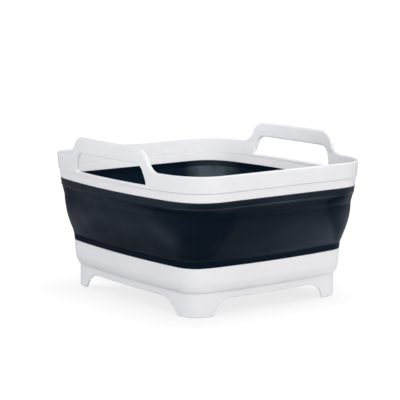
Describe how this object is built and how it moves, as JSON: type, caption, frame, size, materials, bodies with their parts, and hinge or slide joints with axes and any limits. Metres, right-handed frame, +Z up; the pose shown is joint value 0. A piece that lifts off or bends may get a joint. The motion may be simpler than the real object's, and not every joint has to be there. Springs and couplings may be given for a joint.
{
  "type": "collapsible camp washbasin",
  "caption": "Rounded rectangular washbasin with a folding rubber wall, a rigid rim with two carrying handles, a drain plug and corner feet.",
  "frame": {"origin": "on the floor under the middle of the basin, at the bottom of the four feet", "axes": "+Z up out of the open mouth, Y along the longer sides, the two handles stand on the +X and -X sides"},
  "size_m": [0.2952, 0.32, 0.197],
  "materials": {
    "white_plastic": "satin moulded plastic, cool white",
    "dark_rubber": "satin elastomer, near-black navy"
  },
  "bodies": {
    "base": {"base_tray": "white_plastic", "lower_wall_collar": "dark_rubber", "fold_panel": "dark_rubber"},
    "rim": {"rim_frame": "white_plastic", "rim_collar": "white_plastic", "upper_wall_band": "dark_rubber"},
    "plug": {"drain_plug": "dark_rubber"}
  },
  "joints": [
    {"name": "collapse", "type": "slide", "parent": "base", "child": "rim", "axis": [0, 0, -1], "range_m": [0, 0.124], "deforming": ["fold_panel"]},
    {"name": "plug_lift", "type": "slide", "parent": "base", "child": "plug", "axis": [0, 0, 1], "range_m": [0, 0.06]}
  ]
}
